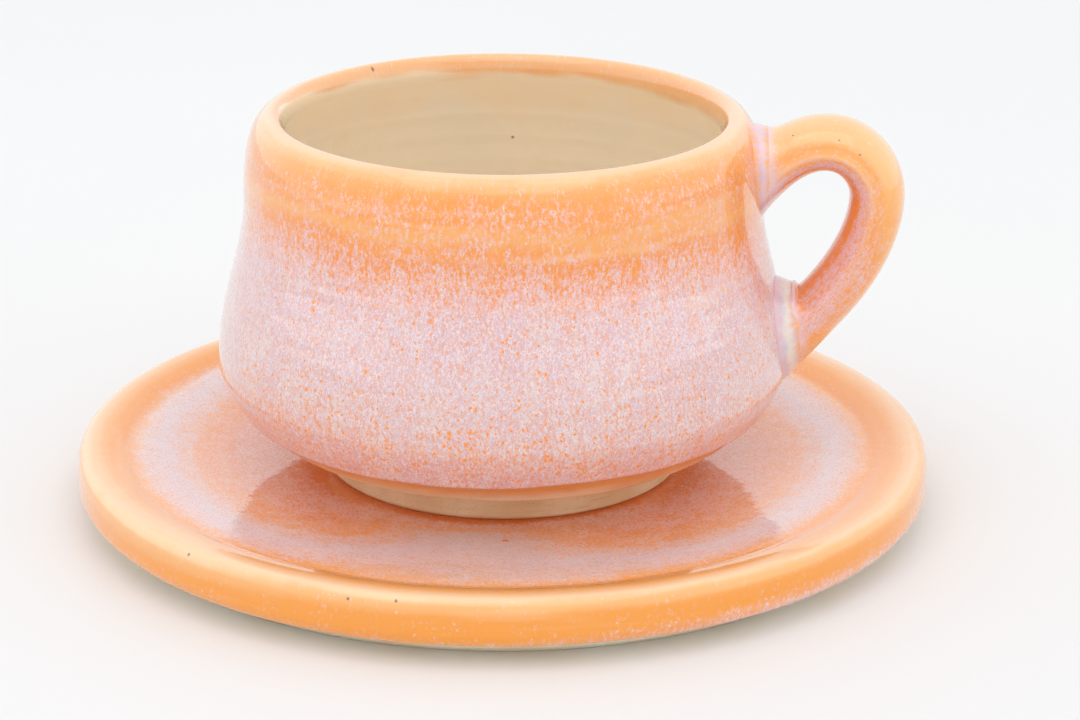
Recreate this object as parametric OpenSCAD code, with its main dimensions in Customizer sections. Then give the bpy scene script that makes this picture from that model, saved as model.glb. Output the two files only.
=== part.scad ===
// Thrown stoneware espresso cup with a pulled handle, standing on its saucer.
// Millimetres, +Z up. The origin is the centre of the saucer's foot, on the table.
// The handle points along +X. The cup lifts straight up off the saucer.

/* [Saucer] */
// Radius over the glazed rim
saucer_r = 57.5; // [55:0.5:64]
// Height of the rim's crest above the table
saucer_h = 9.1; // [8.6:0.1:12]
// How far the rim's crest lies inside the widest edge
crest_inset = 1.9; // [1.3:0.1:3.5]
// Height at which the rim is widest
saucer_widest_z = 4.6; // [3.8:0.1:6.4]
// How far the turned foot lies inside the widest edge
saucer_foot_inset = 6; // [5:0.1:9.5]
// Width of the turned foot
saucer_foot_w = 5.5; // [3:0.1:8]
// Depth of the recess inside the foot
saucer_recess = 1.2; // [0.6:0.1:1.6]
// Height of the glazed well above the table
well_z = 5.75; // [5:0.05:6.5]
// Room in the flat well round the cup's foot
well_room = 3.9; // [2.9:0.1:9.9]
// Width of the rim from its crest in to the dish
rim_w = 6.6; // [5.6:0.1:8.6]
// Drop of the rim from its crest to the dish
rim_drop = 1.2; // [0.8:0.1:1.9]
// Height of the bare clay strip under the saucer's glaze
saucer_bare = 1.2; // [0.6:0.1:2]

/* [Cup] */
// Height from the foot to the lip's crest
cup_h = 48.4; // [47.4:0.5:55.4]
// Radius over the glazed belly
belly_r = 38.2; // [36.5:0.1:42]
// Height at which the belly is widest
belly_z = 15; // [13:0.1:18]
// Radius over the glazed neck
neck_r = 34.4; // [33.2:0.1:36]
// Height of the neck
neck_z = 37; // [34:0.5:39]
// How far the lip's crest lies inside the neck
lip_inset = 4.1; // [2.8:0.1:4.6]
// How far the mouth's narrowest point lies inside the crest
mouth_inset = 1.3; // [1:0.1:2.3]
// Drop from the crest to the mouth's narrowest point
mouth_drop = 2.4; // [1.5:0.1:3]
// Thickness of the thrown wall, with its glaze
wall = 3.9; // [3:0.1:4.5]
// Thickness of the base, with its glaze
base_t = 4; // [3:0.1:5]

/* [Foot of the cup] */
// Outer radius of the turned foot ring
foot_r = 24.1; // [22:0.1:26]
// Width of the foot ring
foot_w = 3.4; // [2.5:0.1:5]
// Height of the foot ring
foot_h = 3; // [2:0.1:4]
// Depth of the recess inside the ring
foot_recess = 2; // [1:0.1:2.6]
// How far the ring leans inwards from bottom to top
foot_lean = 0.5; // [0:0.1:1]
// Width of the cove between the ring and the belly
cove_w = 1.8; // [1:0.1:3]
// Rise of the cove between the ring and the belly
cove_h = 0.9; // [0.4:0.1:1.4]

/* [Glaze] */
// Thickness of every glaze coat
glaze_t = 0.35; // [0.2:0.05:0.6]
// Share of the lower belly curve that stays bare
bare_share = 0.5; // [0.3:0.01:0.6]
// How far the pooled glaze stands out round each root of the handle
pool_w = 0.9; // [0.6:0.1:1.5]
// Thickness of the pooled glaze at its thinnest
pool_t = 0.3; // [0.2:0.05:0.6]

/* [Handle] */
// Drop from the lip's crest to the upper root's centre
upper_root_drop = 6.8; // [6.4:0.1:7.9]
// Height of the lower root's centre above the cup's foot
lower_root_z = 19.8; // [18:0.1:21]
// How far the middle of the strap stands out beyond the belly
handle_out = 11; // [9.8:0.1:15.8]
// Drop from the upper root's centre to where the strap stands out furthest
crown_drop = 3; // [1.6:0.1:5.6]
// Thickness of the glazed strap, seen from the side
strap_t = 7.4; // [6:0.1:8]
// Width of the glazed strap, seen from outside
strap_w = 10.4; // [8.6:0.1:12.4]
// How much the upper root swells where it is smoothed onto the wall
upper_swell = 0.4; // [0.2:0.1:0.8]
// How much the lower root swells where it is smoothed onto the wall
lower_swell = 1.2; // [0.5:0.1:1.8]
// Length over which a root swells
root_length = 6; // [4:0.5:8]
// Direction in which the strap leaves the upper root, in degrees above level
upper_rise = 44; // [34:1:48]
// Direction in which the strap leaves the lower root, in degrees above level
lower_rise = 40; // [34:1:48]

/* [Hidden] */
$fn = 128;
// Steps along one curve of a profile
curve_steps = 10;
// Rings along the handle, and points round each ring
ring_steps = 40;
ring_points = 28;
// Rounding of the turned edges at a foot
edge_r = 0.5;
// Gap left where the pooled glaze meets the curved coat
seat_gap = 0.05;

// Point on a curve that runs from its first point to its last, led by the two between them
function bez(c, t) = pow(1 - t, 3) * c[0] + 3 * t * pow(1 - t, 2) * c[1]
    + 3 * t * t * (1 - t) * c[2] + pow(t, 3) * c[3];
// Direction of travel along that curve
function bez_dir(c, t) =
    let (d = pow(1 - t, 2) * (c[1] - c[0]) + 2 * t * (1 - t) * (c[2] - c[1]) + t * t * (c[3] - c[2]))
    d / norm(d);
// Points along the curve, each moved to the right of travel by the coat's thickness
function run(c, coat, from = 0, first = 1) = [for (i = [first:curve_steps])
    let (t = from + (1 - from) * i / curve_steps, d = bez_dir(c, t))
    bez(c, t) + coat * [d[1], -d[0]]];
function reversed(points) = [for (i = [len(points) - 1:-1:0]) points[i]];
// Smooth step from 0 to 1
function ease(s) = let (k = min(1, max(0, s))) k * k * (3 - 2 * k);

// Outside of the cup's clay, from the cove up to the lip's crest
lip_r = neck_r - lip_inset;
mouth_r = lip_r - mouth_inset;
floor_z = foot_recess + base_t - glaze_t;
cove = [foot_r - foot_lean + cove_w, foot_h + cove_h];
belly = [belly_r - glaze_t, belly_z];
neck = [neck_r - glaze_t, neck_z];
crest = [lip_r, cup_h - glaze_t];
// Levers of the curves, as shares of the widths and rises that the curves cross
underside_shares = [0.62, 0.08];
belly_shares = [0.27, 0.38];
neck_shares = [0.3, 0.3];
crest_share = 0.95;
belly_rise = belly[1] - cove[1];
neck_rise = neck[1] - belly[1];
crest_rise = crest[1] - neck[1];
lower_belly = [cove,
    cove + [(belly[0] - cove[0]) * underside_shares[0], belly_rise * underside_shares[1]],
    belly - [0, belly_rise * belly_shares[0]], belly];
upper_belly = [belly, belly + [0, neck_rise * belly_shares[1]],
    neck - [0, neck_rise * neck_shares[0]], neck];
shoulder = [neck, neck + [0, crest_rise * neck_shares[1]],
    crest + [(neck[0] - crest[0]) * crest_share, 0], crest];

// Inside of the cup's clay, from the crest down to the floor
mouth = [mouth_r + glaze_t, cup_h - mouth_drop];
inner_neck = [neck_r - wall + glaze_t, neck_z - wall];
inner_belly = [belly_r - wall + glaze_t, belly_z + wall / 3];
floor_edge = [foot_r - foot_w, floor_z];
mouth_shares = [0.6, 0.5];
inner_neck_shares = [0.4, 0.36];
inner_belly_shares = [0.3, 0.62];
floor_share = 0.55;
inner_drop = inner_neck[1] - inner_belly[1];
lip_inside = [crest, crest - [(crest[0] - mouth[0]) * mouth_shares[0], 0],
    mouth + [0, (crest[1] - mouth[1]) * mouth_shares[1]], mouth];
inner_upper = [mouth, mouth - [0, mouth_drop],
    inner_neck + [0, (mouth[1] - inner_neck[1]) * inner_neck_shares[0]], inner_neck];
inner_wall = [inner_neck, inner_neck - [0, inner_drop * inner_neck_shares[1]],
    inner_belly + [0, inner_drop * inner_belly_shares[0]], inner_belly];
inner_floor = [inner_belly,
    inner_belly - [0, (inner_belly[1] - floor_z) * inner_belly_shares[1]],
    floor_edge + [(inner_belly[0] - floor_edge[0]) * floor_share, 0], floor_edge];

// Outside of the saucer's clay, from its foot over the rim and down to the well
saucer_foot_r = saucer_r - saucer_foot_inset;
saucer_base = [saucer_foot_r, 0];
widest = [saucer_r - glaze_t, saucer_widest_z];
rim = [saucer_r - crest_inset, saucer_h - glaze_t];
dish = rim - [rim_w, rim_drop];
well = [foot_r + well_room, well_z - glaze_t];
side_share = 0.33;
rim_shares = [0.75, 0.95];
dish_share = 0.4;
dish_w = dish[0] - well[0];
dish_slope = (dish[1] - well[1]) / dish_w;
saucer_side = [saucer_base,
    saucer_base + side_share * [widest[0] - saucer_foot_r, saucer_widest_z],
    widest - [0, side_share * saucer_widest_z], widest];
saucer_rim = [widest, widest + [0, (rim[1] - widest[1]) * rim_shares[0]],
    rim + [(widest[0] - rim[0]) * rim_shares[1], 0], rim];
saucer_dish = [rim, rim - [dish_share * rim_w, 0],
    dish + dish_share * rim_w * [1, dish_slope], dish];
saucer_fall = [dish, dish - dish_share * dish_w * [1, dish_slope],
    well + [dish_share * dish_w, 0], well];
side_bare_share = saucer_bare / saucer_widest_z;

// Outlines of the turned forms, on the clay for coat 0 and on the glaze for coat glaze_t
function cup_outside(coat, from = 0) = concat(run(lower_belly, coat, from, 0),
    run(upper_belly, coat), run(shoulder, coat));
function cup_inside(coat) = concat(run(lip_inside, coat, 0, 0), run(inner_upper, coat),
    run(inner_wall, coat), run(inner_floor, coat), [[0, floor_z + coat]]);
function saucer_outside(coat, from = 0) = concat(run(saucer_side, coat, from, 0),
    run(saucer_rim, coat), run(saucer_dish, coat), run(saucer_fall, coat),
    [[0, well[1] + coat]]);

// Radius of the cup's clay at a height
cup_radii = [for (p = cup_outside(0)) [p[1], p[0]]];
function wall_r(z) = lookup(z, cup_radii);

// Flat end of the strap, clear of the wall by the coat and the pooled glaze
function root_x(z, half) = glaze_t + pool_t
    + max([for (k = [-1:0.2:1]) wall_r(z + k * (half + pool_w))]);

// Middle line of the strap: up from the upper root over the crown, down to the lower root
upper_root_z = cup_h - upper_root_drop;
handle_reach = belly_r + handle_out;
handle_reach_z = upper_root_z - crown_drop;
upper_root =[root_x(upper_root_z, strap_t / 2 + upper_swell), upper_root_z];
lower_root = [root_x(lower_root_z, strap_t / 2 + lower_swell), lower_root_z];
reach = [handle_reach, handle_reach_z];
root_lever_shares = [0.8, 0.47];
reach_lever_shares = [0.35, 0.3];
crown_span = handle_reach - upper_root[0];
return_drop = handle_reach_z - lower_root_z;
upper_lever = crown_span * root_lever_shares[0] * [cos(upper_rise), sin(upper_rise)];
lower_lever = return_drop * root_lever_shares[1] * [cos(lower_rise), sin(lower_rise)];
upper_arc = [upper_root, upper_root + upper_lever,
    reach + [0, crown_span * reach_lever_shares[0]], reach];
lower_arc = [reach, reach - [0, return_drop * reach_lever_shares[1]],
    lower_root + lower_lever, lower_root];

// One ring of the strap, level with the wall at each root and square to the strap between
function strap_ring(i, coat) =
    let (half = ring_steps / 2,
        arc = i < half ? upper_arc : lower_arc,
        t = i < half ? i / half : i / half - 1,
        centre = bez(arc, t),
        dir = bez_dir(arc, t),
        travel = atan2(dir[1], dir[0]),
        from_upper = norm(centre - upper_root) / root_length,
        from_lower = norm(centre - lower_root) / root_length,
        tilt = travel * ease(from_upper) * ease(from_lower) - 180 * (1 - ease(from_lower)),
        swell = upper_swell * pow(max(0, 1 - from_upper), 2)
            + lower_swell * pow(max(0, 1 - from_lower), 2),
        high = (strap_t / 2 - glaze_t + swell + coat) / cos(tilt - travel),
        wide = strap_w / 2 - glaze_t + swell + coat)
    [for (k = [0:ring_points - 1]) let (a = 360 * k / ring_points)
        [centre[0] - sin(tilt) * high * cos(a), wide * sin(a), centre[1] + cos(tilt) * high * cos(a)]];
function strap_points(coat) = [for (i = [0:ring_steps], p = strap_ring(i, coat)) p];
// Faces round the strap, as triangles on the same diagonals for clay and glaze
function strap_faces(base, inwards) = [for (i = [0:ring_steps - 1], k = [0:ring_points - 1])
    let (n = (k + 1) % ring_points, a = base + i * ring_points + k, b = base + i * ring_points + n)
    each inwards ? [[a, b + ring_points, a + ring_points], [a, b, b + ring_points]]
        : [[a, a + ring_points, b + ring_points], [a, b + ring_points, b]]];
// Outline of a root against the wall, seen along X
function root_outline(i, coat) = [for (p = strap_ring(i, coat)) [p[1], p[2]]];

module turned(outline) {
    rotate_extrude() polygon(outline);
}

// A flat outline run from the end of the handle into the wall
module root_run(x, outline, hole = []) {
    count = len(outline);
    translate([x / 2, 0, 0]) rotate([90, 0, 90]) linear_extrude(x / 2)
        polygon(concat(outline, hole), len(hole) == 0 ? undef
            : [[for (k = [0:count - 1]) k], [for (k = [0:count - 1]) count + k]]);
}

module cup_solid(coat) {
    turned(concat([[0, cove[1]]], cup_outside(coat), [[0, crest[1] + coat]]));
}

// The clay of the saucer: turned foot, recess, bare edge and dish
module saucer_body() {
    foot_in = saucer_foot_r - saucer_foot_w;
    color("burlywood") turned(concat(
        [[0, saucer_recess], [foot_in - saucer_recess, saucer_recess], [foot_in, 0]],
        saucer_outside(0)));
}

// Glaze over the dish and the rim, down to the bare strip
module saucer_glaze() {
    color("sandybrown") turned(concat(saucer_outside(glaze_t, side_bare_share),
        reversed(saucer_outside(0, side_bare_share))));
}

// The thrown clay: foot ring, belly, neck, lip and inside
module cup_body() {
    foot_in = foot_r - foot_w;
    color("tan") translate([0, 0, well_z]) turned(concat(
        [[0, foot_recess], [foot_in - foot_recess / 2, foot_recess], [foot_in, 0],
            [foot_r - edge_r, 0], [foot_r, edge_r], [foot_r - foot_lean, foot_h]],
        cup_outside(0), cup_inside(0)));
}

// Glaze on the outside, up to the lip's crest, open where the handle is joined
module cup_outer_glaze() {
    color("lightsalmon") translate([0, 0, well_z]) difference() {
        turned(concat(cup_outside(glaze_t, bare_share), reversed(cup_outside(0, bare_share))));
        root_run(upper_root[0], root_outline(0, 0));
        root_run(lower_root[0], root_outline(ring_steps, 0));
    }
}

// Glaze on the inside, from the lip's crest over the floor
module cup_liner_glaze() {
    color("wheat") translate([0, 0, well_z])
        turned(concat(cup_inside(glaze_t), reversed(cup_inside(0))));
}

// The pulled strap
module handle() {
    last = ring_steps * ring_points;
    color("peru") translate([0, 0, well_z]) polyhedron(strap_points(0), concat(
        strap_faces(0, false),
        [[for (k = [0:ring_points - 1]) k]],
        [[for (k = [ring_points - 1:-1:0]) last + k]]));
}

// Glaze round the strap
module handle_glaze() {
    count = (ring_steps + 1) * ring_points;
    last = ring_steps * ring_points;
    color("orange") translate([0, 0, well_z]) polyhedron(
        concat(strap_points(glaze_t), strap_points(0)), concat(
            strap_faces(0, false),
            strap_faces(count, true),
            [for (k = [0:ring_points - 1]) let (n = (k + 1) % ring_points)
                each [[k, n, count + n], [k, count + n, count + k]]],
            [for (k = [0:ring_points - 1]) let (n = (k + 1) % ring_points)
                each [[last + n, last + k, count + last + k],
                    [last + n, count + last + k, count + last + n]]]));
}

// The slip that joins one end of the strap to the wall
module slip_joint(x, outline) {
    color("sienna") translate([0, 0, well_z]) difference() {
        root_run(x, outline);
        cup_solid(0);
    }
}

// Glaze pooled in the corner round one root
module glaze_pool(x, outline, hole) {
    color("thistle") translate([0, 0, well_z]) difference() {
        root_run(x, outline, hole);
        cup_solid(glaze_t + seat_gap);
    }
}

module upper_slip_joint() {
    slip_joint(upper_root[0], root_outline(0, 0));
}

module lower_slip_joint() {
    slip_joint(lower_root[0], root_outline(ring_steps, 0));
}

module upper_glaze_pool() {
    glaze_pool(upper_root[0], root_outline(0, pool_w), root_outline(0, 0));
}

module lower_glaze_pool() {
    glaze_pool(lower_root[0], root_outline(ring_steps, pool_w), root_outline(ring_steps, 0));
}

saucer_body();
saucer_glaze();
cup_body();
cup_outer_glaze();
cup_liner_glaze();
handle();
handle_glaze();
upper_slip_joint();
lower_slip_joint();
upper_glaze_pool();
lower_glaze_pool();
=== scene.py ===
# Espresso cup on its saucer: thrown stoneware under a glossy orange glaze that breaks to
# lavender and cream. Lengths are in millimetres up to the point where a mesh is made.

import math

import bpy
import numpy as np
from mathutils import Matrix, Vector


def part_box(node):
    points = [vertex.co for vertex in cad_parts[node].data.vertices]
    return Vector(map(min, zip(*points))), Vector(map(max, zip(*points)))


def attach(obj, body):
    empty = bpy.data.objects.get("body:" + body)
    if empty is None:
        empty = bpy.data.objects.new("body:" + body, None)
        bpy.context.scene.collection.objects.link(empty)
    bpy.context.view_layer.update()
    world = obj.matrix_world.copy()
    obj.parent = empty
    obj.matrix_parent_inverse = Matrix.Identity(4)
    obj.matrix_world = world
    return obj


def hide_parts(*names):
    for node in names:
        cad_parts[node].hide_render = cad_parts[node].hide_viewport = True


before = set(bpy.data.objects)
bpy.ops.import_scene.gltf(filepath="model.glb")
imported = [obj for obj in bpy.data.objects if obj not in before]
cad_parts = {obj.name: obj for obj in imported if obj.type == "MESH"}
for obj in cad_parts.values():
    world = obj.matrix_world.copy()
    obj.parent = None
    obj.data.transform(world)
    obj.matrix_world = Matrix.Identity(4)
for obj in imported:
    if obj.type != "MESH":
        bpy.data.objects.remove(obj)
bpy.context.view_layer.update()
print("frame loaded")

mm = 0.001  # metres in a millimetre


# Shapes shared by every piece

def boxOf(node):  # lowest and highest corner of a CAD node, in millimetres
    low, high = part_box(node)
    return np.array(low) / mm, np.array(high) / mm


curveSteps = 40
lowPoints = curveSteps + 1  # points in an outline's first curve, where the glaze stops


def bezier(points, steps=curveSteps):  # first point to last, led by the two between
    p = np.array(points, float)
    t = np.linspace(0, 1, steps + 1)[:, None]
    return ((1 - t) ** 3 * p[0] + 3 * t * (1 - t) ** 2 * p[1]
            + 3 * t * t * (1 - t) * p[2] + t ** 3 * p[3])


def led(start, away, back, end):  # a curve led by a step away from each end
    return bezier([start, start + away, end + back, end])


def joined(*curves):  # one outline from curves that meet end to end
    return np.vstack([curves[0]] + [curve[1:] for curve in curves[1:]])


def alongLine(line):  # distance walked at each point of an outline
    return np.r_[0, np.cumsum(np.hypot(*np.diff(line, axis=0).T))]


def resampled(line, step):  # the same outline with a point every step or so, corners kept
    points = [line[:1]]
    for start, end in zip(line[:-1], line[1:]):
        count = max(1, int(np.hypot(*(end - start)) / step))
        points.append(start + (end - start) * np.arange(1, count + 1)[:, None] / count)
    return np.vstack(points)


def softened(line, bevel):  # each corner cut back a little, so that it catches light
    points = [line[0]]
    for before, here, after in zip(line[:-2], line[1:-1], line[2:]):
        for other in (before, after):
            reach = np.hypot(*(other - here))
            points.append(here + (other - here) * min(bevel, reach * 0.4) / reach)
    return np.array(points + [line[-1]])


def normalsOf(line):  # unit normals on the right of travel
    step = np.gradient(line, alongLine(line), axis=0)
    step /= np.linalg.norm(step, axis=1)[:, None]
    return np.stack([step[:, 1], -step[:, 0]], -1)


def smooth(x, low=0.0, high=1.0):  # smooth step from 0 at low to 1 at high
    k = np.clip((x - low) / (high - low), 0, 1)
    return k * k * (3 - 2 * k)


def hump(x, middle, width):  # 1 at the middle, fading over the width
    return np.exp(-((x - middle) / width) ** 2)


def circle(count):
    return np.arange(count) * 2 * math.pi / count


def lift(line, along, angle, off):  # points at a distance along an outline, off it by off
    walked, normals = alongLine(line), normalsOf(line)
    along, angle, off = np.broadcast_arrays(along, angle, off)
    radius = np.interp(along, walked, line[:, 0]) + off * np.interp(along, walked, normals[:, 0])
    height = np.interp(along, walked, line[:, 1]) + off * np.interp(along, walked, normals[:, 1])
    radius = np.maximum(radius, 0)
    return np.stack([radius * np.cos(angle), radius * np.sin(angle), height], -1)


def placed(name, data):  # a new object in the scene
    thing = bpy.data.objects.new(name, data)
    bpy.context.scene.collection.objects.link(thing)
    return thing


def signedVolume(points, faceSets):  # negative when the faces look inwards
    total = 0.0
    for faces in faceSets:
        c = points[faces]
        for second, third in ((1, 2), (2, 3))[:faces.shape[1] - 2]:
            total += (c[:, 0] * np.cross(c[:, second], c[:, third])).sum()
    return total / 6


def ringsMesh(name, rings, closed, layers):  # rings of points, joined row by row
    rows, count = rings.shape[:2]
    points = rings.reshape(-1, 3)
    here = np.arange(count)
    beside = (here + 1) % count
    starts = np.arange(rows if closed else rows - 1)[:, None] * count
    ends = (starts + count) % (rows * count)
    quads = np.stack([starts + here, starts + beside, ends + beside, ends + here], -1)
    quads = quads.reshape(-1, 4)
    caps, extra = np.zeros((0, 3), int), []
    if not closed:  # a centre point closes each end
        for row, turn in ((0, -1), (rows - 1, 1)):
            pair = np.stack([row * count + here, row * count + beside], -1)[:, ::turn]
            centre = np.full((count, 1), len(points) + len(extra))
            caps = np.vstack([caps, np.hstack([pair, centre])])
            extra.append(rings[row].mean(0))
        points = np.vstack([points, np.array(extra)])
    if signedVolume(points, [quads, caps]) < 0:
        quads, caps = quads[:, ::-1], caps[:, ::-1]
    mesh = bpy.data.meshes.new(name)
    mesh.from_pydata((points * mm).tolist(), [], quads.tolist() + caps.tolist())
    for layer, values in layers.items():  # named values that the materials read
        flat = values.reshape(-1, 3)
        if extra:
            flat = np.vstack([flat, values[0].mean(0), values[-1].mean(0)])
        data = mesh.attributes.new(layer, "FLOAT_VECTOR", "POINT").data
        data.foreach_set("vector", flat.astype(np.float32).ravel())
    mesh.shade_smooth()
    mesh.update()
    return placed(name, mesh)


def layersOf(radius, angle, along, ridge=0.0, place=None, edge=50.0):
    # flow is a seamless place round and along the surface, relief holds the ridges, the place
    # in the glaze's bands and the distance from the glaze's edge
    place = along if place is None else place
    angle, along, ridge, place, edge = np.broadcast_arrays(angle, along, ridge, place, edge)
    return {"flow": np.stack([radius * np.cos(angle), radius * np.sin(angle), along], -1),
            "relief": np.stack([ridge, place, edge], -1)}


def stacked(*layerSets):
    return {key: np.concatenate([layers[key] for layers in layerSets]) for key in layerSets[0]}


def wavy(start, angle, waves):  # wanders by the size, count and turn of each wave
    for size, count, turn in waves:
        start = start + size * np.sin(count * angle + turn)
    return start


def coated(first, last, rows, coat, form):  # rows over a coat that rolls over at its first edge
    rolls = np.array(form["rolls"])[:, None]
    share = np.linspace(0, 1, rows)[1:, None]
    along = np.vstack([first + rolls, first + rolls[-1] + share * (last - first - rolls[-1])])
    fromEdge = along - first
    rolled = np.sqrt(1 - (1 - np.clip(fromEdge / form["roll"], 0, 1)) ** 2)
    thick = coat * rolled + form["bead"] * hump(fromEdge, form["beadAt"], form["beadWide"])
    return along, fromEdge, thick


def throwing(along, angle, wide=3.1, tight=1.7):  # faint spiral ridges that the fingers leave
    turns = angle / (2 * math.pi)
    return (0.65 * np.sin(2 * math.pi * (along / wide + turns) + 0.9 * np.sin(angle))
            + 0.35 * np.sin(2 * math.pi * (along / tight + turns) + 1.3 * np.cos(angle + 0.6)))


def toward(angle, middle, width):  # 1 at one angle, fading to both sides
    return hump((angle - middle + math.pi) % (2 * math.pi) - math.pi, 0, width)


def turnedClay(form, under, side, skins, edge, fade):  # bare clay, and skins under the glaze
    under = softened(under, form["bevel"])
    bare = joined(resampled(under, form["step"]), side)
    walked = alongLine(bare)[:, None]
    angle = circle(form["around"])[None, :]
    turning = form["turning"] * fade(walked, bare[:, 1:]) * throwing(walked, angle, *form["lines"])
    low = lift(bare, walked, angle, turning)
    rest = np.vstack([lift(skin, alongLine(skin)[:, None], angle, off) for skin, off in skins])
    toGlaze = edge(angle) + alongLine(under)[-1] - walked
    layers = stacked(layersOf(form["flow"], angle, walked, 0.0, None, np.maximum(toGlaze, 0)),
                     layersOf(form["flow"], angle, np.zeros((len(rest), 1))))
    return np.concatenate([low, rest]), layers


def dressed(piece, material, body, slot, *nodes):
    piece.data.materials.append(material)
    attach(piece, body)
    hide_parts(*nodes)


# Node helpers

def srgb(red, green, blue):  # a colour as seen on screen, 0 to 255
    linear = [c / 255 / 12.92 if c <= 10 else ((c / 255 + 0.055) / 1.055) ** 2.4
              for c in (red, green, blue)]
    return (*linear, 1.0)


def wire(kind, inputs, out=0, tree=None, **settings):  # a node, its settings and its links
    links = {key: value for key, value in inputs.items() if isinstance(value, bpy.types.NodeSocket)}
    tree = tree or list(links.values())[0].id_data
    made = tree.nodes.new("ShaderNode" + kind)
    for key, value in settings.items():
        setattr(made, key, value)
    for key, value in inputs.items():
        if key in links:
            tree.links.new(value, made.inputs[key])
        else:
            made.inputs[key].default_value = value
    return made.outputs[out] if made.outputs else made


def calc(operation, a, b=0.0, clamp=False):
    return wire("Math", {0: a, 1: b}, operation=operation, use_clamp=clamp)


def plus(a, b, clamp=False):
    return calc("ADD", a, b, clamp)


def minus(a, b):
    return calc("SUBTRACT", a, b)


def times(a, b):
    return calc("MULTIPLY", a, b)


def vectors(operation, a, b, out=0):
    return wire("VectorMath", {0: a, 1: b}, out=out, operation=operation)


def scaled(vector, x, y, z):
    return vectors("MULTIPLY", vector, (x, y, z))


def spread(value, low, high, toLow=0.0, toHigh=1.0):  # smooth step between two values
    return wire("MapRange", {"Value": value, "From Min": low, "From Max": high,
                             "To Min": toLow, "To Max": toHigh}, interpolation_type="SMOOTHSTEP")


def mixed(factor, a, b):
    return wire("Mix", {0: factor, 6: a, 7: b}, out=2, data_type="RGBA", clamp_factor=True)


def noise(vector, scale, detail=2.0, rough=0.5, out=0):
    return wire("TexNoise", {"Vector": vector, "Scale": scale, "Detail": detail,
                             "Roughness": rough}, out=out)


def centred(value, amount):  # noise about 0 in place of about a half
    return times(minus(value, 0.5), amount)


def ramp(value, stops, reach):  # colours or shares at distances along the surface
    made = wire("ValToRGB", {0: calc("DIVIDE", value, reach)})
    bar = made.node.color_ramp
    bar.interpolation = "EASE"
    for i, (place, *colour) in enumerate(stops):
        stop = bar.elements[i] if i < 2 else bar.elements.new(1.0)
        stop.position = place / reach
        stop.color = srgb(*colour) if len(colour) == 3 else (*colour * 3, 1)
    return made


def washed(colour, over, share, value, low, high):  # another colour laid over it in places
    return mixed(spread(value, low, high, 0.0, share), colour, over)


def parts(vector):
    return wire("SeparateXYZ", {0: vector}).node.outputs


def emptied(owner):  # a material or a world, and its node tree
    owner.use_nodes = True
    owner.node_tree.nodes.clear()
    return owner, owner.node_tree


def newLayers(name):  # a material that reads what the meshes of this script carry
    material, tree = emptied(bpy.data.materials.new(name))
    flow, relief = [wire("Attribute", {}, out=1, tree=tree, attribute_name=layer)
                    for layer in ("flow", "relief")]
    return material, flow, parts(relief)


def bumped(height):  # height in millimetres
    return wire("Bump", {"Height": height, "Strength": 1.0, "Distance": mm})


def shaded(colour, roughness, height, coatHeight=None, coatRoughness=0.03):
    inputs = {"Base Color": colour, "Roughness": roughness, "Normal": bumped(height)}
    if coatHeight:  # a glaze has a clear skin over its colour
        inputs.update({"Specular IOR Level": 0.15, "Coat Weight": 1.0,
                       "Coat Roughness": coatRoughness, "Coat Normal": bumped(coatHeight)})
    wire("OutputMaterial", {0: wire("BsdfPrincipled", inputs)})


def dotsAt(flow, dots):  # single specks, each a place in the flow and a radius
    mask = None
    for x, y, z, radius in dots:
        dot = spread(vectors("DISTANCE", flow, (x, y, z), out=1), radius, radius * 0.5)
        mask = calc("MAXIMUM", mask, dot) if mask else dot
    return mask


def spotted(flow, scale, share, small, large, core, edge):  # a round spot in some of the cells
    cell = wire("TexVoronoi", {"Vector": flow, "Scale": scale})
    random = parts(cell.node.outputs[1])
    size = spread(random[0], 0.0, 1.0, small, large)
    spot = wire("MapRange", {"Value": cell, "From Min": size, "From Max": times(size, core)},
                interpolation_type=edge)
    return times(spot, calc("LESS_THAN", random[1], share))


def specks(flow, scale, share, small, large):  # sparse dark dots of iron
    return spotted(flow, scale, share, small * scale, large * scale, 0.5, "LINEAR")


# Glaze that breaks from orange to a pale veil

glazeBase = {
    "driftScale": 0.05, "driftStretch": 0.6, "drift": 5.0,  # how far the bands wander
    "streakScale": 0.55, "streakStretch": 0.08, "streak": 3.0,  # and run down in streaks
    "calm": 12.0,  # no wandering above this place
    "patchScale": 0.42, "patchStretch": 0.22, "patch": 0.65,
    "curlScale": 1.8, "curl": 0.8, "fleckStretch": 0.42,
    "cloudScale": 2.4, "cloudSoft": 0.06, "cloudShare": 0.55,  # a haze
    "netScale": 1.8, "netWide": 0.10, "netShare": 0.85, "gateScale": 2.5,  # under a net
    "threadScale": 2.7, "threadWide": 0.055, "threadShare": 0.8, "thread": srgb(242, 234, 236),
    "tintScale": 0.28, "tintShare": 0.6, "tint": srgb(224, 216, 214),
    "toneScale": 0.3, "toneFlat": 0.10, "toneShare": 0.3,  # level bands, pale and deep
    "spotScale": 1.6, "smallSpot": 0.14, "largeSpot": 0.40, "spot": srgb(250, 150, 46),
    "speckScale": 0.075, "speckShare": 0.12, "speck": srgb(110, 78, 66),
    "dots": (), "breaks": (), "deep": srgb(240, 118, 40),  # single specks, breaks in the veil
    "ridgePale": 0.08, "thin": srgb(252, 216, 168),
    "hollowDeep": 0.12, "thick": srgb(250, 150, 50),
    "edgeWide": 0.4, "edgeWander": 0.1, "edgeShare": 0.6, "edge": srgb(166, 104, 66),
    "fleckHeight": 0.006, "peelScale": 0.5, "peel": 0.02, "rough": 0.22,
}


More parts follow.
